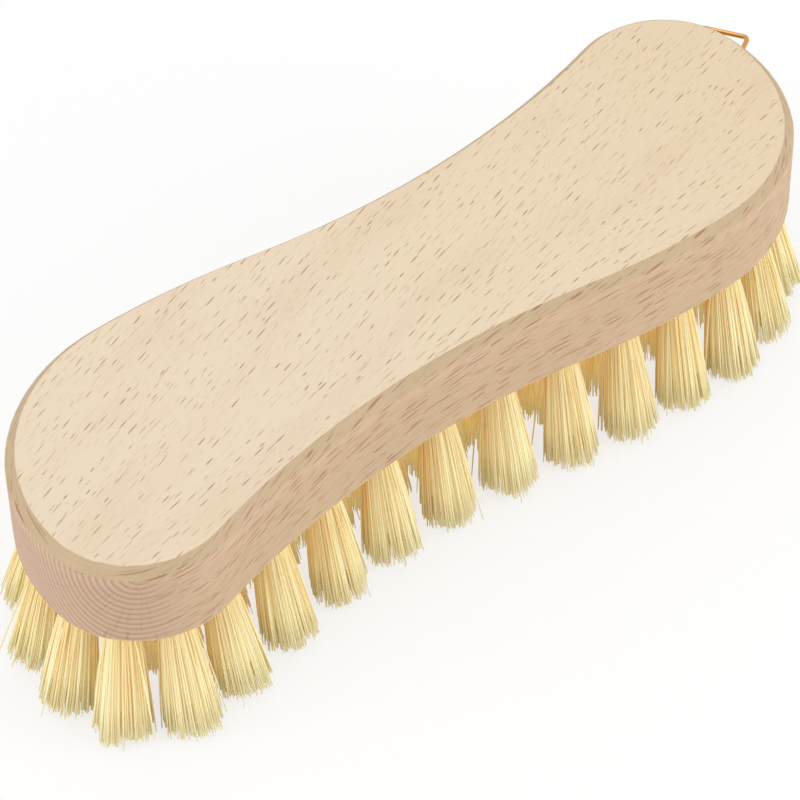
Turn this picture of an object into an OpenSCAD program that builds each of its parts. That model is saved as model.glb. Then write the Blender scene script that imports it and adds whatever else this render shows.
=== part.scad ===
// Scrubbing brush with an S-shaped beech block, drilled and filled with tufts of stiff plant fibre.
// It stands on its trimmed bristle tips: Z is up, X runs along the block, and the origin lies on the
// floor under the block's centre. All sizes are in millimetres.

/* [Block] */
// Length of the block
block_length = 220; // [180:1:265]
// Width across the block, over its lobes
block_width = 69; // [58:0.5:83]
// Thickness of the block
block_thickness = 20.5; // [17:0.5:25]
// Radius of the small arc round each nose, the tighter corner of an end
nose_r = 22; // [18:0.5:27]
// Radius of the long flat arc over each shoulder
shoulder_r = 190; // [150:5:230]
// Radius of the hollow on each side of the waist
waist_r = 220; // [180:5:265]
// Chamfer of the upper edge, measured along each face
top_chamfer = 2.3; // [1:0.1:4]
// How far sanding has eased the two corners of the chamfer
edge_ease = 0.3; // [0.1:0.1:0.8]
// Round-over of the lower edge
bottom_round = 0.8; // [0.4:0.1:1.5]

/* [Tuft holes] */
// Diameter of a tuft hole
hole_d = 6.5; // [5:0.1:7.8]
// Depth of a tuft hole along its axis, to where its cone starts
hole_depth = 10.5; // [9:0.5:12]
// Height of the cone that the drill leaves at the bottom of a hole
drill_cone = 1.2; // [0.6:0.1:1.5]
// Radius of the cone's blunt tip
drill_tip_r = 0.4; // [0.2:0.1:0.8]
// Distance from the outline in to the holes of the outer ring
ring_inset = 7.5; // [6.5:0.25:9]
// Number of holes in the outer ring, an even number, spaced evenly along the outline
ring_count = 32; // [24:2:34]
// Distance along the outline from the start of the first shoulder to the first hole
ring_start = 13; // [0:0.5:16]
// Number of holes in each of the two inner rows
row_count = 11; // [7:1:11]
// Spacing of the holes along an inner row
row_pitch = 16; // [13:0.5:17]
// Least wood between an inner row's holes and the bottoms of the ring's leaning holes
row_wall = 0.8; // [0.4:0.1:1.5]

/* [Bristles] */
// Height of the trimmed bristles below the block
bristle_height = 30; // [24:1:36]
// Outward lean of the outer ring along the sides, in degrees
side_lean = 11; // [5:1:14]
// Outward lean of the outer ring round the ends, in degrees
end_lean = 19; // [12:1:22]
// Strands that stand for each tuft
strand_count = 9; // [5:1:9]
// Radius of a three-sided strand, out to its corners
strand_r = 0.75; // [0.5:0.05:0.9]
// Radius that a tuft's strands spread to at the trim line
tuft_spread = 6.2; // [4:0.1:6.6]
// Most that a short strand stops above the trim line
ragged = 2.4; // [0:0.1:4]
// Radial clearance of a tuft's root in its hole
root_fit = 0.05; // [0.02:0.01:0.1]

/* [Anchors] */
// Thickness of the flat wire that holds a tuft in its hole
anchor_t = 0.5; // [0.3:0.05:0.8]
// Height of the flat wire along the hole
anchor_h = 2.2; // [1.5:0.1:3]
// Distance that an anchor bites into the wood on each side of its hole
anchor_bite = 0.8; // [0.4:0.1:1.2]
// Thickness of the fold of fibre between an anchor and the bottom of its hole
fold_t = 1.6; // [1:0.1:2.5]
// Clearance all round an anchor
anchor_fit = 0.03; // [0.01:0.01:0.08]

/* [Hanging loop] */
// Diameter of the loop's wire
wire_d = 1.2; // [1:0.1:1.8]
// Width of the loop over its two legs, from axis to axis
loop_width = 12; // [10:1:16]
// Offset of the loop's own centre line from the nose's centre, less than 0 to the right looking out along it
loop_shift = -6; // [-10:1:0]
// Reach of the loop beyond the nose, to the axis of its bar
loop_reach = 6; // [5:0.5:8]
// Turn of the loop away from the block's long axis, in degrees
loop_turn = 28; // [20:1:36]
// Depth of the wire's axis below the top face, where the tuft holes leave room for it
loop_drop = 7.5; // [6:0.5:8]
// Radius of the loop's two bends, at the wire's axis
loop_bend = 1.4; // [1:0.1:3]
// Length of the legs driven into the wood, inwards from the nose's edge
leg_grip = 16; // [10:1:18]
// Length of the point ground on each leg
leg_point = 2; // [1:0.5:3]
// Radial clearance of a leg in its hole
leg_fit = 0.03; // [0.01:0.01:0.08]
// Least wood between a leg's hole and the tuft holes below it
leg_wall = 0.4; // [0.2:0.1:1]

/* [Hidden] */
$fn = 96;
// Small overlap between solids that are joined, and past faces that are cut
lap = 0.5;
// Most that a straight stretch of the block's edge cuts inside its arc
chord_sag = 0.04;
golden_angle = 137.508;

underside_z = bristle_height;
top_z = bristle_height + block_thickness;
hole_r = hole_d / 2;
root_r = hole_r - root_fit;
wire_r = wire_d / 2;
end_r = block_width - nose_r;
tuft_count = ring_count + 2 * row_count;

// Heading of a vector in the plane, from 0 to 360 degrees
function heading(v) = let (h = atan2(v.y, v.x)) h < 0 ? h + 360 : h;
function polar(r, a) = [r * cos(a), r * sin(a)];
// The point at distance rp from p and rq from q, on the right of the way from p to q
function meet(p, rp, q, rq) =
    let (d = norm(q - p), u = (q - p) / d)
    let (a = (d * d + rp * rp - rq * rq) / (2 * d), h = sqrt(rp * rp - a * a))
    p + a * u + h * [u.y, -u.x];

// Centres of the tangent arcs of one half of the outline. The other half is this one turned by 180 degrees.
nose_c = [nose_r - block_length / 2, nose_r - block_width / 2];
end_c = [end_r - block_length / 2, block_width / 2 - end_r];
shoulder_c = [end_c.x, block_width / 2 - shoulder_r];
waist_c = meet(nose_c, nose_r + waist_r, -shoulder_c, shoulder_r + waist_r);
nose_end = heading(waist_c - nose_c);
waist_start = heading(nose_c - waist_c);
shoulder_start = heading(-waist_c - shoulder_c);

// One row per arc: centre, radius, first heading, last heading, and 1 where it bulges out or -1 where it is hollow
HALF = [
    [shoulder_c, shoulder_r, shoulder_start, 90, 1],
    [end_c, end_r, 90, 180, 1],
    [nose_c, nose_r, 180, nose_end, 1],
    [waist_c, waist_r, waist_start, heading(-shoulder_c - waist_c), -1]
];
OUTLINE = concat(HALF, [for (a = HALF) [-a[0], a[1], a[2] + 180, a[3] + 180, a[4]]]);

// Corners along the outline: [arc, heading]
CORNERS = [for (a = OUTLINE)
    let (n = ceil(abs(a[3] - a[2]) / (2 * acos(1 - chord_sag / a[1]))))
    for (j = [0 : n - 1]) [a, a[2] + (a[3] - a[2]) * j / n]];
// Number of the corner at the block's far left
TIP = len([for (c = CORNERS) if (c[0] == OUTLINE[0] || c[0] == OUTLINE[1]) 1]);
// Rings from the underside up: [distance moved in, height]
SECTION = concat(
    [for (j = [0 : 2]) bottom_round * [1 - sin(45 * j), 1 - cos(45 * j)]],
    [for (p = [
        [0, -top_chamfer - edge_ease],
        [edge_ease * sin(45), -top_chamfer + edge_ease * cos(45)],
        [top_chamfer - edge_ease * cos(45), -edge_ease * sin(45)],
        [top_chamfer + edge_ease, 0]
    ]) [p.x, block_thickness + p.y]]
);
// Corners of one strip of an end face: the k-th on each side of the tip, and the next
function strip(tip, k, n) =
    let (a = (tip + k) % n, b = (tip + k + 1) % n, c = (tip - k - 1 + n) % n, d = (tip - k + n) % n)
    k == 0 ? [a, b, c] : b == c ? [a, b, d] : [a, b, c, d];

// Radius of an arc moved in from the outline, the point at a heading on it, and its length
function inset_r(arc, inset) = arc[1] - arc[4] * inset;
function arc_point(arc, inset, a) = arc[0] + polar(inset_r(arc, inset), a);
function arc_length(arc) = abs(arc[3] - arc[2]) * PI / 180 * arc[1];
function outline_length(n = len(OUTLINE)) = n == 0 ? 0 : arc_length(OUTLINE[n - 1]) + outline_length(n - 1);
// [x, y, outward heading] of the point moved in by inset from a distance s along the outline
function path_at(s, inset, i = 0) =
    let (arc = OUTLINE[i], l = arc_length(arc))
    s > l && i < len(OUTLINE) - 1 ? path_at(s - l, inset, i + 1)
    : let (a = arc[2] + (arc[3] - arc[2]) * s / l, p = arc_point(arc, inset, a))
      [p.x, p.y, arc[4] > 0 ? a : a + 180];

// Height of the upper side's line at x, moved in by inset, and of the lower side's line
function on_arc(arc, inset, x) =
    arc[0].y + arc[4] * sqrt(pow(inset_r(arc, inset), 2) - pow(x - arc[0].x, 2));
function upper_y(x, inset) =
    x < end_c.x ? on_arc(OUTLINE[1], inset, x)
    : x < arc_point(OUTLINE[0], inset, OUTLINE[0][2]).x ? on_arc(OUTLINE[0], inset, x)
    : x < arc_point(OUTLINE[6], inset, OUTLINE[6][3]).x ? on_arc(OUTLINE[7], inset, x)
    : on_arc(OUTLINE[6], inset, x);
function lower_y(x, inset) = -upper_y(-x, inset);

// Tuft seats: [x, y, heading of the lean, lean]
ring_pitch = outline_length() / ring_count;
function lean_at(a) = side_lean + (end_lean - side_lean) * abs(cos(a));
RING = [for (i = [0 : ring_count - 1])
    let (p = path_at(ring_start + i * ring_pitch, ring_inset)) [p[0], p[1], p[2], lean_at(p[2])]];
// The inner rows share the width between the ring's two sides, are staggered by half a pitch, and
// move closer together where a narrow block would let them run into the ring's holes
function row_seat(row, i) =
    let (x = (i - (row_count - 1) / 2 + (row == 1 ? 0.25 : -0.25)) * row_pitch)
    let (low = lower_y(x, ring_inset), high = upper_y(x, ring_inset))
    let (step = max((high - low) / 3, hole_d + row_wall + (hole_depth + drill_cone) * sin(side_lean)))
    [x, row == 0 ? low + step : high - step, 90, 0];
ROWS = [for (row = [0, 1]) for (i = [0 : row_count - 1]) row_seat(row, i)];
SEATS = concat(RING, ROWS);

function two_digits(n) = str(n < 10 ? "0" : "", n);
function tuft_name(i) =
    i < ring_count ? str("outer_tuft_", two_digits(i + 1))
    : str("inner_tuft_", two_digits(i - ring_count + 1));

// The block without its holes: rings of corners, moved in and up by SECTION, are joined into one skin.
// Each end face is laid in strips between corners that lie opposite each other.
module blank() {
    n = len(CORNERS);
    last = len(SECTION) - 1;
    tip = n / 2 + TIP;
    points = [for (s = SECTION) for (c = CORNERS) let (p = arc_point(c[0], s[0], c[1])) [p.x, p.y, s[1]]];
    sides = [for (j = [0 : last - 1]) for (i = [0 : n - 1])
        let (a = j * n + i, b = j * n + (i + 1) % n) [a, a + n, b + n, b]];
    floor_strips = [for (k = [0 : n / 2 - 1]) strip(tip, k, n)];
    lid_strips = [for (f = floor_strips) [for (i = [len(f) - 1 : -1 : 0]) f[i] + last * n]];
    polyhedron(points, concat(sides, floor_strips, lid_strips), convexity = 6);
}

// Places its children at a tuft's seat, with the hole's axis along Z and its mouth at the origin
module at_seat(seat) {
    translate([seat[0], seat[1], underside_z]) rotate([0, -seat[3], seat[2]]) children();
}

// A drilled hole, or what fills it, from z = -drop up to the blunt tip of its cone
module bore(r, drop) {
    bottom = hole_depth + drill_cone;
    rotate_extrude($fn = 48)
        polygon([[0, -drop], [r, -drop], [r, hole_depth], [drill_tip_r, bottom], [0, bottom]]);
}

// Flat wire across a hole, in the plane of the hole's lean, larger all round by fit
module anchor(fit) {
    size = [hole_d + 2 * anchor_bite, anchor_t, anchor_h] + [2, 2, 2] * fit;
    translate([0, 0, hole_depth - fold_t - anchor_h / 2]) cube(size, center = true);
}

// Places its children at the nose that holds the loop: X points out along the loop, in the wire's plane
module at_loop() {
    translate([-nose_c.x, -nose_c.y, loop_z]) rotate([0, 0, loop_turn]) children();
}

loop_z = max(top_z - loop_drop, underside_z + hole_depth + drill_cone + leg_wall + leg_fit + wire_r);
leg_start = nose_r - leg_grip;
bar_x = nose_r + loop_reach;
function leg_y(side) = loop_shift + side * loop_width / 2;

// One leg's hole, along X
module leg_hole(side) {
    translate([leg_start - leg_fit, leg_y(side), 0])
        rotate([0, 90, 0])
            cylinder(r = wire_r + leg_fit, h = leg_grip + lap, $fn = 32);
}

module block() {
    color([0.90, 0.83, 0.72])
    difference() {
        translate([0, 0, underside_z]) blank();
        for (seat = SEATS)
            at_seat(seat) {
                bore(hole_r, 2 * lap + hole_r);
                anchor(anchor_fit);
            }
        at_loop() for (side = [-1, 1]) leg_hole(side);
    }
}

// One leg with its point, and the bend that joins it to the bar
module loop_side(side) {
    bend_c = [bar_x - loop_bend, leg_y(side) - side * loop_bend];
    translate([leg_start + leg_point, leg_y(side), 0])
        rotate([0, 90, 0]) {
            cylinder(r = wire_r, h = bend_c.x - leg_start - leg_point, $fn = 32);
            translate([0, 0, -leg_point]) cylinder(r1 = wire_r / 4, r2 = wire_r, h = leg_point, $fn = 32);
        }
    translate([bend_c.x, bend_c.y, 0])
        rotate([0, 0, side > 0 ? 0 : -90])
            rotate_extrude(angle = 90, $fn = 64)
                translate([loop_bend, 0]) circle(r = wire_r, $fn = 32);
}

module hanging_loop() {
    bar_l = loop_width - 2 * loop_bend;
    color([0.80, 0.52, 0.20])
    at_loop() {
        for (side = [-1, 1]) loop_side(side);
        translate([bar_x, loop_shift - bar_l / 2, 0])
            rotate([-90, 0, 0])
                cylinder(r = wire_r, h = bar_l, $fn = 32);
    }
}

module tuft_anchors() {
    color([0.72, 0.70, 0.66])
    for (seat = SEATS) at_seat(seat) anchor(0);
}

// A strand's place in its tuft: distance from the axis at the root, and heading
function strand_rho(k) = (root_r - strand_r) * sqrt((k + 0.5) / strand_count);
function strand_turn(k, i) = k * golden_angle + i * 71;
// How far a strand stops above the trim line: about half of them reach it
function strand_stop(k, i) = ragged * max(0, rands(0, 1, 1, 40 * i + k)[0] - 0.5) * 2;

// One straight three-sided strand, from inside the root to just below the trim line
module strand(k, i, lean) {
    rho = strand_rho(k);
    grown = (tuft_spread - strand_r) / (root_r - strand_r);
    fan = atan(rho * (grown - 1) / bristle_height);
    reach = (bristle_height + lap - strand_stop(k, i)) / cos(lean);
    rotate([0, 0, strand_turn(k, i)])
        translate([rho, 0, 0])
            rotate([0, -fan, 0])
                translate([0, 0, -reach])
                    linear_extrude(height = reach + 3) circle(r = strand_r, $fn = 3);
}

module tuft(i) {
    seat = SEATS[i];
    tall = 2 * (block_thickness + bristle_height);
    wide = block_length;
    color([0.89, 0.80, 0.54])
    union() {
        difference() {
            at_seat(seat) bore(root_r, hole_r);
            translate([seat[0], seat[1], underside_z - tall / 2]) cube([wide, wide, tall], center = true);
            at_seat(seat) anchor(anchor_fit);
        }
        difference() {
            at_seat(seat) for (k = [0 : strand_count - 1]) strand(k, i, seat[3]);
            translate([seat[0], seat[1], -tall / 2]) cube([wide, wide, tall], center = true);
        }
    }
}

block();
hanging_loop();
tuft_anchors();
for (i = [0 : tuft_count - 1])
    tuft(i);
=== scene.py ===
"""Scrubbing brush: an S-shaped beech block, drilled and filled with tufts of plant fibre, with a wire loop.

All places are in metres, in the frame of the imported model: Z up, X along the block, bristle tips at zero.
"""

import math

import bmesh
import bpy
import numpy as np
from mathutils import Matrix, Vector


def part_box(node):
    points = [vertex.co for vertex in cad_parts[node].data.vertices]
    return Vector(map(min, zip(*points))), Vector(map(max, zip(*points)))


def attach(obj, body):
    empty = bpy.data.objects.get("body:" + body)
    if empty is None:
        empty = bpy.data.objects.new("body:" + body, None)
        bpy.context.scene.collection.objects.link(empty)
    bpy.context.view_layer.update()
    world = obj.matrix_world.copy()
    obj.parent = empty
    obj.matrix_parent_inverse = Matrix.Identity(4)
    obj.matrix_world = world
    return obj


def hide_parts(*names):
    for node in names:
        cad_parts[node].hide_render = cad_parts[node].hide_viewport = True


bl_info = {
    "name": "Scrubbing Brush",
    "version": (1, 0, 0),
    "blender": (4, 5, 0),
    "location": "View3D > Sidebar > Brush",
    "description": "Builds a scrubbing brush: beech block, tufts of plant fibre and a wire hanging loop",
    "category": "Add Mesh",
}

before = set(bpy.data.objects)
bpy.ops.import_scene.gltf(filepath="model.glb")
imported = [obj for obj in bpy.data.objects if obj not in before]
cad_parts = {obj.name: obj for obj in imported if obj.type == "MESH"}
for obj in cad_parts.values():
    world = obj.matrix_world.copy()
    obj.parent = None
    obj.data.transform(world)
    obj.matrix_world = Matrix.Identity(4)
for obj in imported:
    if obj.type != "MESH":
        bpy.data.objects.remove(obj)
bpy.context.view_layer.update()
MM = 0.001
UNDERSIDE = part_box("block")[0].z
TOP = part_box("block")[1].z
OUTER = sorted(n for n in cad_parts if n.startswith("outer_tuft_"))
INNER = sorted(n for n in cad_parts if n.startswith("inner_tuft_"))
GOLDEN_ANGLE = math.pi * (3 - math.sqrt(5))

# The pith of the tree, in millimetres: the growth rings on the end without the loop run round it
PITH = Vector((-97.5, -29.1, 50.5))

# How the fibres of a tuft lie
CROWDING = 0.33  # under a half: fibres crowd towards the outside of their tuft
LOCKS = 48  # groups of neighbouring fibres that hold together
BOW = 0.62  # share of its spread that a fibre aims for when it is half way down
GRIP = 3.0 * MM  # how far a fibre's mesh starts inside its hole
STRAYS, STRAY_WANDER = 0.03, 4.0  # share of loose fibres, and how much further they wander
SHORT = 0.05  # share of fibres that broke off short
FIBRE_STEPS = (0.33, 0.67, 1.0)
MIDDLE_STEPS = (0.0, 0.0, 0.22, 0.46, 0.7)
MIDDLE_SHARE = 0.92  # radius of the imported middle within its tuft
TAPER = 0.6  # a fibre's thickness at its tip
LEAST_HEIGHT = 0.02 * MM  # no tip goes below this

# The lamps: name, place, what it faces and width
LAMPS = (
    ("softbox", (0.0, 0.1, 1.3), (0, 0, 0.03), 0.9),
    ("window", (0.75, -1.05, 0.45), (0, 0, 0.02), 0.8),
    ("fill", (-1.1, 0.3, 0.4), (-0.05, 0, 0.02), 0.8),
)
FLOOR_SIZE, FLOOR_DROP = 8, 0.2 * MM
FLOOR_GLOW = 0.72  # share of the floor's white that the camera sees whatever the shadow
BOUNCES, DIFFUSE_BOUNCES = 24, 16  # light passes many times between fibres before it leaves a tuft


# ---------------------------------------------------------------- sizes and colours


def size(name, description, default, low=0.0, high=1.0):
    """A length that the user can set."""
    return bpy.props.FloatProperty(
        name=name, description=description, default=default, min=low, max=high, unit="LENGTH", precision=5
    )


def share(name, description, default, low=0.0, high=1.0):
    """A plain number that the user can set."""
    return bpy.props.FloatProperty(name=name, description=description, default=default, min=low, max=high)


def bearing(name, description, default):
    """An angle that the user can set."""
    return bpy.props.FloatProperty(name=name, description=description, default=default, subtype="ANGLE")


def tint(name, description, default):
    """A colour that the user can set, as linear light."""
    return bpy.props.FloatVectorProperty(
        name=name, description=description, default=default, size=3, min=0, max=1, subtype="COLOR"
    )


class WoodSettings(bpy.types.PropertyGroup):
    """The beech block's grain and colours."""

    grain_heading: bearing("Grain heading", "Direction of the grain, off the long axis", math.radians(16))
    grain_rise: bearing("Grain rise", "Slope of the grain, up towards the end with the loop", math.radians(8))
    ring_width: size("Ring width", "Distance from one growth ring to the next", 1.45 * MM)
    fleck_length: size("Fleck length", "Length of the brown flecks on the top", 3.3 * MM)
    fleck_width: size("Fleck width", "Width of the brown flecks on the top", 0.28 * MM)
    face: tint("Face", "Sanded wood on the flat faces", (0.79, 0.655, 0.475))
    warm_face: tint("Warm face", "The flat faces towards the loop", (0.77, 0.62, 0.43))
    # Browner wood along the sides, and darker than the face as painted shade
    edge: tint("Edge", "Wood along the sides", (0.58, 0.42, 0.265))
    chamfer: tint("Chamfer", "Wood on the chamfer of the upper edge", (0.515, 0.39, 0.235))
    heart: tint("Heartwood", "Pinkish clouds in the wood", (0.66, 0.46, 0.32))
    # Painted light: an orange line along the lower edge, for light thrown up from the bristles
    rim: tint("Rim", "The lower edge, next to the bristles", (0.86, 0.60, 0.28))
    end_grain: tint("End grain", "Wood across the ends", (0.56, 0.40, 0.28))
    fleck: tint("Fleck", "The short brown rays", (0.38, 0.20, 0.115))


class FibreSettings(bpy.types.PropertyGroup):
    """The fibres of one tuft."""

    count: bpy.props.IntProperty(
        name="Fibres", description="Fibre ends in one tuft", default=560, min=LOCKS, max=600
    )
    thickness: size("Thickness", "Thickness of one fibre", 0.4 * MM)
    root_radius: size("Root radius", "Radius of a tuft at the mouth of its hole", 3.1 * MM)
    tip_radius: size("Tip radius", "Radius that the tips of a tuft in the ring spread to", 6.2 * MM)
    inner_tip_radius: size("Inner tip radius", "Radius that the tips of an inner tuft spread to", 7.6 * MM)
    inner_lean: size("Inner lean", "How far the tips of an inner tuft lean away from the other row", 3.0 * MM)
    ragged: size("Raggedness", "How far most short fibres stop above the trim line", 2.2 * MM)
    wander: size("Wander", "How far a tip strays from its place in the tuft", 0.4 * MM)
    # The pale tint also lightens the tips as painted light
    pale: tint("Pale fibre", "The lightest fibres", (0.98, 0.91, 0.58))
    straw: tint("Straw fibre", "The middle fibres", (0.96, 0.82, 0.46))
    amber: tint("Amber fibre", "The darkest fibres", (0.92, 0.71, 0.32))
    # Painted shade: the fibres turn this orange towards the block, for the shade deep between the fibres
    root: tint("Root", "Fibres next to the block", (0.90, 0.65, 0.24))
    glow: share("Glow", "Stands for light that comes through the fibres of the ring", 0.025)
    inner_glow: share("Inner glow", "Stands for light that comes through the fibres of the inner rows", 0.1)


class WireSettings(bpy.types.PropertyGroup):
    """The hanging loop's wire and the anchors' flat wire."""

    copper: tint("Copper", "The drawn wire of the loop", (0.80, 0.42, 0.14))
    tarnish: tint("Tarnish", "Dulled stretches of the loop", (0.36, 0.17, 0.08))
    steel: tint("Steel", "The flat wire of the anchors", (0.50, 0.48, 0.45))


class StageSettings(bpy.types.PropertyGroup):
    """The floor, the lights and the camera."""

    floor: tint("Floor", "The pale floor", (0.93, 0.93, 0.93))
    daylight: share("Daylight", "Strength of the light from all round", 0.78, 0, 5)
    softbox: share("Softbox", "Power of the large lamp overhead, in watts", 2.5, 0, 200)
    window: share("Window", "Power of the large lamp to the right of the camera, in watts", 6.0, 0, 200)
    fill: share("Fill", "Power of the large lamp to the left of the camera, in watts", 4.0, 0, 200)
    azimuth: bearing("Azimuth", "Heading of the camera", -0.70836)
    elevation: bearing("Elevation", "Height of the camera as an angle", 0.76922)
    roll: bearing("Roll", "Turn of the camera about its own axis", -0.02149)
    distance: size("Distance", "From the camera to the plane through the block", 0.752661, 0.1, 5.0)
    right: size("Right", "Move of the camera to its right", -4.5675 * MM, -1.0)
    up: size("Up", "Move of the camera upwards in its picture", -13.548 * MM, -1.0)
    lens: share("Lens", "Focal length of the camera in millimetres", 152.7269, 1, 500)


class BrushSettings(bpy.types.PropertyGroup):
    """All sizes and colours of the brush."""

    wood: bpy.props.PointerProperty(type=WoodSettings)
    fibre: bpy.props.PointerProperty(type=FibreSettings)
    wire: bpy.props.PointerProperty(type=WireSettings)
    stage: bpy.props.PointerProperty(type=StageSettings)


# ---------------------------------------------------------------- shader maths


class Wire:
    """An output socket whose arithmetic adds Math nodes to its material."""

    def __init__(self, paint, socket):
        self.paint = paint
        self.socket = socket

    def out(self, name):
        return Wire(self.paint, self.socket.node.outputs[name])

    def math(self, operation, *values):
        return self.paint.math(operation, self, *values)

    def __add__(self, other):
        return self.math("ADD", other)

    def __sub__(self, other):
        return self.math("SUBTRACT", other)

    def __rsub__(self, other):
        return self.paint.math("SUBTRACT", other, self)

    def __mul__(self, other):
        return self.math("MULTIPLY", other)

    def __truediv__(self, other):
        return self.math("DIVIDE", other)

    def __abs__(self):
        return self.math("ABSOLUTE")

    def __lt__(self, other):
        return self.math("LESS_THAN", other)

    __radd__ = __add__
    __rmul__ = __mul__


class Paint:
    """One material and its nodes."""

    def __init__(self, name):
        self.material = bpy.data.materials.new(name)
        self.material.use_nodes = True
        self.tree = self.material.node_tree
        self.tree.nodes.clear()

    def add(self, kind, settings=None, sockets=None, output=0):
        """A node of that kind: its settings first, then the values or links of its sockets."""
        node = self.tree.nodes.new(kind)
        for key, value in (settings or {}).items():
            setattr(node, key, value)
        for key, value in (sockets or {}).items():
            socket = node.inputs[key]
            if isinstance(value, Wire):
                self.tree.links.new(value.socket, socket)
            elif socket.type == "RGBA" and len(value) == 3:
                socket.default_value = (*value, 1)
            else:
                socket.default_value = value
        return Wire(self, node.outputs[output])

    def math(self, operation, *values):
        return self.add("ShaderNodeMath", {"operation": operation}, dict(enumerate(values)))

    def mix(self, factor, first, second):
        return self.add("ShaderNodeMix", {"data_type": "RGBA"}, {0: factor, 6: first, 7: second}, 2)

    def along(self, place, direction, scale=1.0):
        """How far a place lies along a direction."""
        sockets = {0: place, 1: [c * scale for c in direction]}
        return self.add("ShaderNodeVectorMath", {"operation": "DOT_PRODUCT"}, sockets, "Value")

    def vector(self, x, y, z):
        return self.add("ShaderNodeCombineXYZ", None, {0: x, 1: y, 2: z})

    def parts(self, vector):
        split = self.add("ShaderNodeSeparateXYZ", None, {0: vector})
        return split, split.out("Y"), split.out("Z")

    def noise(self, place, scale, detail=2.0, rough=0.5):
        """Soft noise from 0 to 1, about one change per unit at a scale of 1."""
        sockets = {"Vector": place, "Scale": scale, "Detail": detail, "Roughness": rough}
        return self.add("ShaderNodeTexNoise", None, sockets)

    def step(self, value, low, high, first=0.0, last=1.0):
        """A smooth step of value, from first at low to last at high."""
        return self.add(
            "ShaderNodeMapRange",
            {"interpolation_type": "SMOOTHSTEP"},
            {"Value": value, "From Min": low, "From Max": high, "To Min": first, "To Max": last},
        )

    def bump(self, height, depth, strength=1.0):
        return self.add("ShaderNodeBump", None, {"Height": height, "Distance": depth, "Strength": strength})

    def principled(self, **sockets):
        """The finished material, from the shader's sockets by name: base_color is Base Color."""
        named = {key.replace("_", " ").title().replace("Ior", "IOR"): value for key, value in sockets.items()}
        return self.finish(self.add("ShaderNodeBsdfPrincipled", None, named))

    def finish(self, shader):
        """Shows a shader as the material's surface."""
        output = self.tree.nodes.new("ShaderNodeOutputMaterial")
        self.tree.links.new(shader.socket, output.inputs["Surface"])
        return self.material


def strokes(paint, u, v, cell, length, width, chosen, slope=0.0):
    """Thin strokes along u, at most one in each cell of the plane of u and v, all in millimetres.

    chosen is the share of cells that have one, and slope turns the strokes out of the u direction.
    """
    scaled = paint.vector(u / cell[0] + chosen * 50, v / cell[1], 0.0)
    near = paint.add(
        "ShaderNodeTexVoronoi",
        {"feature": "F1", "voronoi_dimensions": "2D"},
        {"Vector": scaled, "Scale": 1.0, "Randomness": 0.85},
        "Position",
    )
    x, y, _ = paint.parts(paint.add("ShaderNodeVectorMath", {"operation": "SUBTRACT"}, {0: scaled, 1: near}))
    lot, longer, stronger = paint.parts(near.out("Color"))
    ends = x * cell[0] / (longer * length * 0.5 + length * 0.25)
    sides = (y * cell[1] - x * cell[0] * slope) / (stronger * width * 0.4 + width * 0.3)
    reach = paint.math("SQRT", ends * ends + sides * sides)
    return paint.step(reach, 1.2, 0.4) * (lot < chosen) * (stronger * stronger * 0.75 + 0.25)


# ---------------------------------------------------------------- materials


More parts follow.
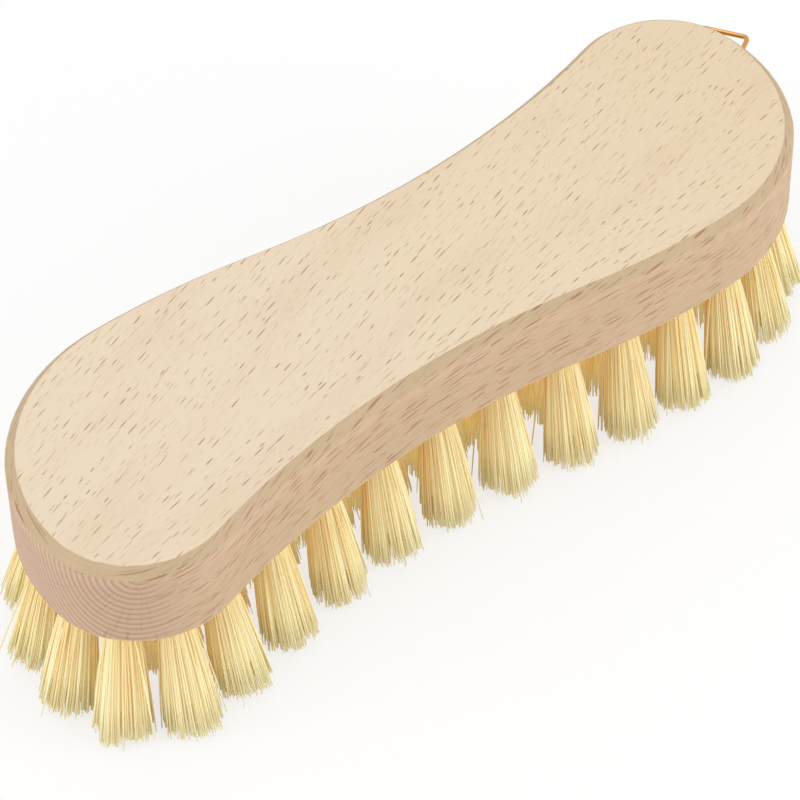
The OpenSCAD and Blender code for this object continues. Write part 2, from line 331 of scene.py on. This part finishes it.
def beech(wood):
    """Sanded beech: brown flecks on the face, longer ones on the sides, growth rings and rays on the ends."""
    paint = Paint("beech")
    place = paint.add("ShaderNodeTexCoord", output="Object")
    normal = paint.add("ShaderNodeNewGeometry", output="Normal")
    h, rise = wood.grain_heading, wood.grain_rise
    grain = Vector((math.cos(h) * math.cos(rise), math.sin(h) * math.cos(rise), math.sin(rise)))
    across = Vector((-math.sin(h), math.cos(h), 0))
    deep = grain.cross(across)
    drift = paint.noise(place, 28.0, 1.0) - 0.5
    u = paint.along(place, grain, 1000)
    v = paint.along(place, across, 1000) + drift * 2.0
    w = paint.along(place, deep, 1000) + drift * 1.5
    height = paint.along(place, (0, 0, 1000))

    # The flat top, the chamfer, the sides along the grain and the ends across it
    upward = abs(paint.parts(normal)[2])
    flat = paint.step(upward, 0.78, 0.96)
    upright = paint.step(upward, 0.62, 0.30)
    endwise = paint.step(abs(paint.along(normal, grain)), 0.42, 0.90) * upright
    sideways = 1 - flat - endwise
    chamfer = 1 - flat - upright

    # The flecks on the face swing round towards the long axis along the side with negative Y
    swing = paint.step(paint.along(place, (0, 1000, 0)), -4.0, -26.0) * -0.15
    swing = swing - paint.along(place, (0.6, 0, 0)) + 0.03
    long_mm, wide_mm = wood.fleck_length / MM, wood.fleck_width / MM
    face_flecks = strokes(paint, u, v, (4.6, 1.5), long_mm, wide_mm, 0.75, swing)
    faint_flecks = strokes(paint, u, v, (4.6, 1.3), long_mm * 0.8, wide_mm * 0.7, 0.6, swing)
    face_flecks = paint.math("MAXIMUM", face_flecks, faint_flecks * 0.45)
    side_flecks = strokes(paint, u, w, (6.4, 1.0), long_mm * 1.6, wide_mm, 0.85)
    faint_flecks = strokes(paint, u, w, (4.5, 0.7), long_mm, wide_mm * 0.6, 0.7)
    side_flecks = paint.math("MAXIMUM", side_flecks, faint_flecks * 0.55)

    # Growth rings round the pith, and the rays that cross them
    x = v - PITH.dot(across)
    y = w - PITH.dot(deep)
    radius = paint.math("SQRT", x * x + y * y)
    ring = paint.math("FRACT", (radius + drift * 2.0) / (wood.ring_width / MM))
    late = paint.step(ring, 0.25, 0.92) * paint.step(ring, 1.0, 0.94)
    rays = strokes(paint, radius, paint.math("ARCTAN2", y, x) * 15.0, (9.0, 1.2), 10.0, 0.3, 0.8)

    # The colour of the wood, with painted shade on the sides, then a darker band below the top edge, its
    # clouds, pores, rings and flecks, and painted light along the lower edge
    cloud = paint.noise(paint.vector(u * 0.02, v * 0.08, w * 0.10), 1.0, 3.0)
    pores = paint.noise(paint.vector(u * 0.45, v * 3.0, w * 3.0), 1.0, 2.0, 0.7)
    towards_loop = paint.step(paint.along(place, (1000, 0, 0)), -40.0, 100.0)
    face = paint.mix(towards_loop, wood.face, wood.warm_face)
    # The sides take the edge colour: browner wood, and darker than the face as painted shade
    body = paint.mix(flat, paint.mix(endwise, wood.edge, wood.end_grain), face)
    body = paint.mix(chamfer * 0.8, body, wood.chamfer)
    # A darker, pinkish band along the sides, about 2 to 6 mm below the top
    below_top = TOP / MM - height
    band = paint.step(below_top, 6.0, 3.2) * paint.step(below_top, 1.8, 2.8)
    clouds = paint.step(cloud, 0.45, 0.7) * (sideways * 0.3 + flat * 0.22)
    body = paint.mix(band * 0.55 + clouds, body, wood.heart)
    body = paint.mix((pores - 0.5) * (0.8 - flat * 0.45), body, wood.fleck)
    lines = late * (endwise * 0.6 + sideways * 0.05) + rays * endwise * 0.42
    marks = face_flecks * flat * 0.9 + side_flecks * sideways * 1.35
    body = paint.mix(lines + marks, body, wood.fleck)
    # Painted light: the lower edge turns orange, for light thrown up from the bristles
    body = paint.mix(paint.step(height - UNDERSIDE / MM, 0.9, 0.3) * 0.6, body, wood.rim)
    relief = (pores - 0.5) * 0.25 - marks - lines * 0.6
    return paint.principled(
        base_color=body,
        roughness=marks * 0.15 + (pores * 0.12 + 0.55),
        ior=1.45,
        normal=paint.bump(relief, 0.06 * MM, 0.5),
    )


def plant_fibre(name, fibre, glow):
    """Stiff plant fibre: each strand has its own tone. The root is more orange than the tip: painted shade
    towards the root and painted light towards the tip.
    """
    paint = Paint(name)
    tone = paint.add("ShaderNodeAttribute", {"attribute_name": "tone"}, None, "Fac")
    run = paint.add("ShaderNodeAttribute", {"attribute_name": "run"}, None, "Fac")
    place = paint.add("ShaderNodeTexCoord", output="Object")
    streak = paint.noise(place, 900.0, 2.0)
    shade = paint.mix(paint.step(tone, 0.0, 0.45), fibre.amber, fibre.straw)
    shade = paint.mix(paint.step(tone, 0.35, 0.9), shade, fibre.pale)
    # Painted shade: deeper orange towards the root
    shade = paint.mix(paint.step(run, 0.75, 0.15) * 0.55, shade, fibre.root)
    # Painted light: paler towards the tips
    shade = paint.mix(paint.step(run, 0.55, 1.0) * 0.6, shade, fibre.pale)
    return paint.principled(
        base_color=shade,
        roughness=streak * 0.2 + 0.5,
        ior=1.45,
        specular_ior_level=0.3,
        # Painted light: a faint glow in the fibre's own colour, for light that passes through the fibres
        emission_color=shade,
        emission_strength=glow,
        normal=paint.bump(streak, 0.02 * MM, 0.3),
    )


def copper(wire):
    """Drawn copper-coloured wire, dulled in places."""
    paint = Paint("copper_wire")
    place = paint.add("ShaderNodeTexCoord", output="Object")
    patch = paint.noise(place, 130.0, 3.0)
    scratch = paint.noise(place, 1800.0, 2.0)
    dull = paint.step(patch, 0.42, 0.68)
    return paint.principled(
        base_color=paint.mix(dull * 0.7, wire.copper, wire.tarnish),
        metallic=1.0,
        roughness=dull * 0.2 + (scratch * 0.12 + 0.2),
        normal=paint.bump(scratch, 0.02 * MM, 0.3),
    )


def flat_steel(wire):
    """Plain flat wire, drawn along its length."""
    paint = Paint("flat_steel")
    place = paint.add("ShaderNodeTexCoord", output="Object")
    grain = paint.noise(place, 2500.0, 2.0)
    return paint.principled(
        base_color=paint.mix(grain, wire.steel, [c * 0.6 for c in wire.steel]),
        metallic=1.0,
        roughness=grain * 0.2 + 0.3,
    )


# ---------------------------------------------------------------- shared steps


def clear_selection():
    bpy.ops.object.select_all(action="DESELECT")


def work_on(piece):
    """Makes a piece the only one selected."""
    clear_selection()
    piece.select_set(True)
    bpy.context.view_layer.objects.active = piece


def mount(piece, material, slot, *nodes):
    """Gives a finished piece its material and its place on the brush."""
    piece.data.materials.clear()
    piece.data.materials.append(material)
    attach(piece, "root")
    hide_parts(*nodes)


def merged_copy(node, name, angle):
    """A copy of a node's mesh with its corners joined and its curved faces smooth."""
    piece = bpy.data.objects.new(name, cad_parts[node].data.copy())
    bpy.context.scene.collection.objects.link(piece)
    work_on(piece)
    bpy.ops.object.mode_set(mode="EDIT")
    bpy.ops.mesh.select_all(action="SELECT")
    bpy.ops.mesh.remove_doubles(threshold=0.002 * MM)
    bpy.ops.object.mode_set(mode="OBJECT")
    bpy.ops.object.shade_smooth_by_angle(angle=math.radians(angle))
    return piece


# ---------------------------------------------------------------- pieces


class BRUSH_OT_wood_block(bpy.types.Operator):
    """Build the sanded beech block"""

    bl_idname = "brush.wood_block"
    bl_label = "Beech Block"

    def execute(self, context):
        block = merged_copy("block", "wood_block", 28)
        weigh = block.modifiers.new("even_faces", "WEIGHTED_NORMAL")
        weigh.keep_sharp = True
        weigh.weight = 50
        bpy.ops.object.modifier_apply(modifier=weigh.name)
        mount(block, beech(context.scene.brush.wood), "beech", "block")
        return {"FINISHED"}


def rod_pattern(sides, cuts):
    """One rod, modelled along Z from 0 to 1: its corners and its faces."""
    clear_selection()
    bpy.ops.mesh.primitive_cylinder_add(vertices=sides, radius=1, depth=1, location=(0, 0, 0.5))
    bpy.ops.object.mode_set(mode="EDIT")
    bpy.ops.mesh.select_all(action="DESELECT")
    body = bmesh.from_edit_mesh(bpy.context.object.data)
    for edge in body.edges:
        edge.select_set(abs(edge.verts[0].co.z - edge.verts[1].co.z) > 0.5)
    bmesh.update_edit_mesh(bpy.context.object.data)
    bpy.ops.mesh.subdivide(number_cuts=cuts)
    bpy.ops.object.mode_set(mode="OBJECT")
    bpy.ops.object.transform_apply(location=True, rotation=True, scale=True)
    pattern = bpy.context.object
    corners = np.array([v.co for v in pattern.data.vertices])
    faces = [list(p.vertices) for p in pattern.data.polygons]
    bpy.data.objects.remove(pattern)
    return corners, faces


def tuft_axis(node):
    """Middle of a tuft at the mouth of its hole, and its direction down and out."""
    corners = np.array([v.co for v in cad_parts[node].data.vertices])
    top = corners[corners[:, 2] > corners[:, 2].max() - 0.25 * MM]
    rim = corners[np.abs(corners[:, 2] - UNDERSIDE) < 0.02 * MM]
    mouth = (rim.min(0) + rim.max(0)) / 2
    axis = mouth - (top.min(0) + top.max(0)) / 2
    return mouth, axis / np.linalg.norm(axis)


def sideways_of(axis):
    """Two directions square to a tuft's axis and to each other."""
    side = np.cross(axis, (0.0, 1.0, 0.0))
    side /= np.linalg.norm(side)
    return side, np.cross(axis, side)


def fibre_paths(fibre, mouth, axis, dice, spread, lean):
    """Points along each fibre of a tuft, from inside its hole to its tip, and each fibre's tone."""
    n = fibre.count
    side, other = sideways_of(axis)
    order = np.arange(n) + 0.5
    heading = order * GOLDEN_ANGLE + dice.uniform(0, 6.28)
    share_out = (order / n) ** CROWDING
    outward = np.cos(heading)[:, None] * side + np.sin(heading)[:, None] * other
    root = outward * (share_out * fibre.root_radius)[:, None]

    # Neighbouring fibres hold together in locks that end at different heights
    place = outward * (share_out * spread)[:, None]
    middle = dice.choice(n, LOCKS, replace=False)
    lock = np.argmin(((place[:, None] - place[middle][None]) ** 2).sum(2), axis=1)
    place += (place[middle][lock] - place) * dice.uniform(0.1, 0.5, n)[:, None]
    stray = np.where(dice.random(n) < STRAYS, STRAY_WANDER, 1.0)
    wander = dice.normal(0, 1, (n, 2)) * (stray * fibre.wander)[:, None]
    place += wander[:, :1] * side + wander[:, 1:] * other
    place[:, 1] += lean
    stop = (dice.random(LOCKS) ** 2)[lock] * fibre.ragged + dice.random(n) ** 3 * fibre.ragged
    stop += (dice.random(n) < SHORT) * dice.uniform(1, 4, n) * MM
    length = (mouth[2] - stop) / -axis[2]

    start = mouth + root
    tip = mouth + axis * length[:, None] + place
    bend = start + axis * (length * 0.5)[:, None] + (place - root) * BOW
    steps = [start - axis * GRIP, start]
    for t in FIBRE_STEPS:
        steps.append(start * (1 - t) ** 2 + bend * (2 * t * (1 - t)) + tip * t**2)
    tone = np.clip(dice.normal(0, 0.16, n) + dice.normal(0.6, 0.2, LOCKS)[lock], 0, 1)
    return np.array(steps), tone


def packed_middle(fibre, mouth, axis, corners, spread, lean):
    """Corners of a tuft's closely packed middle, one tapered rod that stops well above the tips."""
    side, other = sideways_of(axis)
    t = np.array(MIDDLE_STEPS)
    out = 2 * BOW * t * (1 - t) + t * t
    middle = mouth + axis * (t * mouth[2] / -axis[2])[:, None]
    middle[0] -= axis * GRIP
    middle[:, 1] += out * lean
    radius = (fibre.root_radius + (spread - fibre.root_radius) * out) * MIDDLE_SHARE
    row = np.rint(corners[:, 2] * (len(t) - 1)).astype(int)
    ring = corners[:, :1] * side + corners[:, 1:2] * other
    return middle[row] + ring * radius[row][:, None], t[row]


def build_tuft(name, node, fibre, rods, material, seed, spread, lean):
    """Lays copies of the thin rod along the paths of one tuft, round its packed middle."""
    (corners, faces), (thick_corners, thick_faces) = rods
    dice = np.random.default_rng(seed)
    mouth, axis = tuft_axis(node)
    side, other = sideways_of(axis)
    steps, tone = fibre_paths(fibre, mouth, axis, dice, spread, lean)
    n, m, rows = steps.shape[1], len(corners), len(steps) - 1
    row = np.rint(corners[:, 2] * rows).astype(int)
    spin = dice.uniform(0, 6.28, n)
    thick = fibre.thickness / 2 * dice.uniform(0.72, 1.22, n)
    taper = np.where(row == rows, TAPER, 1.0)
    x = corners[:, 0] * np.cos(spin)[:, None] - corners[:, 1] * np.sin(spin)[:, None]
    y = corners[:, 0] * np.sin(spin)[:, None] + corners[:, 1] * np.cos(spin)[:, None]
    ring = (x[..., None] * side + y[..., None] * other) * (thick[:, None] * taper)[..., None]
    points = steps[row].transpose(1, 0, 2) + ring
    points[..., 2] = np.maximum(points[..., 2], LEAST_HEIGHT)
    middle, along = packed_middle(fibre, mouth, axis, thick_corners, spread, lean)
    laid = [[i + k * m for i in face] for k in range(n) for face in faces]
    laid += [[i + n * m for i in face] for face in thick_faces]
    mesh = bpy.data.meshes.new(name)
    mesh.from_pydata(points.reshape(-1, 3).tolist() + middle.tolist(), [], laid)
    tone = np.append(np.repeat(tone, m), np.full(len(middle), 0.5))
    for key, values in (("tone", tone), ("run", np.append(np.tile(row / rows, n), along))):
        mesh.attributes.new(key, "FLOAT", "POINT").data.foreach_set("value", values.astype(np.float32))
    mesh.shade_smooth()
    tuft = bpy.data.objects.new(name, mesh)
    bpy.context.scene.collection.objects.link(tuft)
    mount(tuft, material, "fibre", node)


def build_tufts(nodes, prefix, fibre, material, seed, spread, leans=(0.0,)):
    """One piece for each tuft node, in as many rows as there are leans."""
    rods = rod_pattern(4, len(FIBRE_STEPS)), rod_pattern(14, len(MIDDLE_STEPS) - 2)
    for k, node in enumerate(nodes):
        lean = leans[k * len(leans) // len(nodes)]
        build_tuft(f"{prefix}_{k + 1:02d}", node, fibre, rods, material, seed + k, spread, lean)


class BRUSH_OT_outer_tufts(bpy.types.Operator):
    """Build the splayed tufts of the outer ring"""

    bl_idname = "brush.outer_tufts"
    bl_label = "Outer Tufts"

    def execute(self, context):
        fibre = context.scene.brush.fibre
        material = plant_fibre("ring_fibre", fibre, fibre.glow)
        build_tufts(OUTER, "outer_fibres", fibre, material, 100, fibre.tip_radius)
        return {"FINISHED"}


class BRUSH_OT_inner_tufts(bpy.types.Operator):
    """Build the tufts of the two inner rows"""

    bl_idname = "brush.inner_tufts"
    bl_label = "Inner Tufts"

    def execute(self, context):
        fibre = context.scene.brush.fibre
        leans = (-fibre.inner_lean, fibre.inner_lean)
        material = plant_fibre("inner_fibre", fibre, fibre.inner_glow)
        build_tufts(INNER, "inner_fibres", fibre, material, 500, fibre.inner_tip_radius, leans)
        return {"FINISHED"}


class BRUSH_OT_hanging_loop(bpy.types.Operator):
    """Build the bent wire that the brush hangs by"""

    bl_idname = "brush.hanging_loop"
    bl_label = "Hanging Loop"

    def execute(self, context):
        loop = merged_copy("hanging_loop", "wire_loop", 40)
        mount(loop, copper(context.scene.brush.wire), "copper_wire", "hanging_loop")
        return {"FINISHED"}


class BRUSH_OT_anchors(bpy.types.Operator):
    """Finish the flat wires that hold the folds of fibre"""

    bl_idname = "brush.anchors"
    bl_label = "Tuft Anchors"

    def execute(self, context):
        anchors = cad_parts["tuft_anchors"]
        anchors.data.materials.clear()
        anchors.data.materials.append(flat_steel(context.scene.brush.wire))
        return {"FINISHED"}


# ---------------------------------------------------------------- stage


def pale_floor(colour):
    """A pale floor that the camera sees nearly white, with the brush's soft shadow on it."""
    paint = Paint("pale_floor")
    path = paint.add("ShaderNodeLightPath", output="Is Camera Ray")
    matt = paint.add("ShaderNodeBsdfDiffuse", None, {"Color": colour})
    glow = paint.add("ShaderNodeEmission", None, {"Color": (1, 1, 1), "Strength": 1.0})
    seen = path + path.out("Is Glossy Ray")
    return paint.finish(paint.add("ShaderNodeMixShader", None, {0: seen * FLOOR_GLOW, 1: matt, 2: glow}))


def lamp(name, place, target, width, power):
    """A large soft square lamp that faces a point."""
    clear_selection()
    bpy.ops.object.light_add(type="AREA", location=place)
    light = bpy.context.object
    light.name = name
    light.data.shape = "SQUARE"
    light.data.size = width
    light.data.energy = power
    light.rotation_euler = (Vector(target) - Vector(place)).to_track_quat("-Z", "Y").to_euler()


def add_camera(stage):
    """The camera at the photograph's angle, turned about its own axis by the roll."""
    a, e = stage.azimuth, stage.elevation
    back = Vector((math.sin(a) * math.cos(e), -math.cos(a) * math.cos(e), math.sin(e)))
    right = Vector((math.cos(a), math.sin(a), 0))
    up = back.cross(right)
    place = Vector((0, 0, UNDERSIDE)) + back * stage.distance + right * stage.right + up * stage.up
    bpy.ops.object.camera_add(location=place)
    camera = bpy.context.object
    camera.data.lens = stage.lens
    camera.data.sensor_width = 36
    camera.data.clip_start, camera.data.clip_end = 0.05, 30
    camera.rotation_mode = "QUATERNION"
    x = right * math.cos(stage.roll) + up * math.sin(stage.roll)
    y = up * math.cos(stage.roll) - right * math.sin(stage.roll)
    camera.rotation_quaternion = Matrix((x, y, back)).transposed().to_quaternion()
    bpy.context.scene.camera = camera


class BRUSH_OT_stage(bpy.types.Operator):
    """Set out the floor, the lights and the camera"""

    bl_idname = "brush.stage"
    bl_label = "Stage"

    def execute(self, context):
        stage = context.scene.brush.stage
        clear_selection()
        bpy.ops.mesh.primitive_plane_add(size=FLOOR_SIZE, location=(0, 0, -FLOOR_DROP))
        floor = bpy.context.object
        floor.name = "floor"
        floor.data.materials.append(pale_floor(stage.floor))
        world = bpy.data.worlds.new("studio")
        world.use_nodes = True
        daylight = world.node_tree.nodes["Background"].inputs
        daylight["Color"].default_value = (1, 1, 1, 1)
        daylight["Strength"].default_value = stage.daylight
        context.scene.world = world
        for name, place, target, width in LAMPS:
            lamp(name, place, target, width, getattr(stage, name))
        add_camera(stage)
        context.scene.cycles.max_bounces = BOUNCES
        context.scene.cycles.diffuse_bounces = DIFFUSE_BOUNCES
        context.scene.view_settings.view_transform = "Standard"
        return {"FINISHED"}


class BRUSH_PT_panel(bpy.types.Panel):
    """The brush's pieces, in the sidebar"""

    bl_label = "Scrubbing Brush"
    bl_idname = "BRUSH_PT_panel"
    bl_space_type = "VIEW_3D"
    bl_region_type = "UI"
    bl_category = "Brush"

    def draw(self, context):
        settings = context.scene.brush
        for group in (settings.wood, settings.fibre, settings.wire, settings.stage):
            column = self.layout.column(align=True)
            for name in group.__annotations__:
                column.prop(group, name)
        for operator in PIECES:
            self.layout.operator(operator.bl_idname)


SETTINGS = (WoodSettings, FibreSettings, WireSettings, StageSettings, BrushSettings)
PIECES = (
    BRUSH_OT_stage,
    BRUSH_OT_wood_block,
    BRUSH_OT_outer_tufts,
    BRUSH_OT_inner_tufts,
    BRUSH_OT_hanging_loop,
    BRUSH_OT_anchors,
)


def register():
    for c in (*SETTINGS, *PIECES, BRUSH_PT_panel):
        bpy.utils.register_class(c)
    bpy.types.Scene.brush = bpy.props.PointerProperty(type=BrushSettings)


def unregister():
    del bpy.types.Scene.brush
    for c in reversed((*SETTINGS, *PIECES, BRUSH_PT_panel)):
        bpy.utils.unregister_class(c)


def main():
    register()
    bpy.ops.brush.stage()
    bpy.ops.brush.wood_block()
    bpy.ops.brush.outer_tufts()
    bpy.ops.brush.inner_tufts()
    bpy.ops.brush.hanging_loop()
    bpy.ops.brush.anchors()


if __name__ == "__main__":
    main()
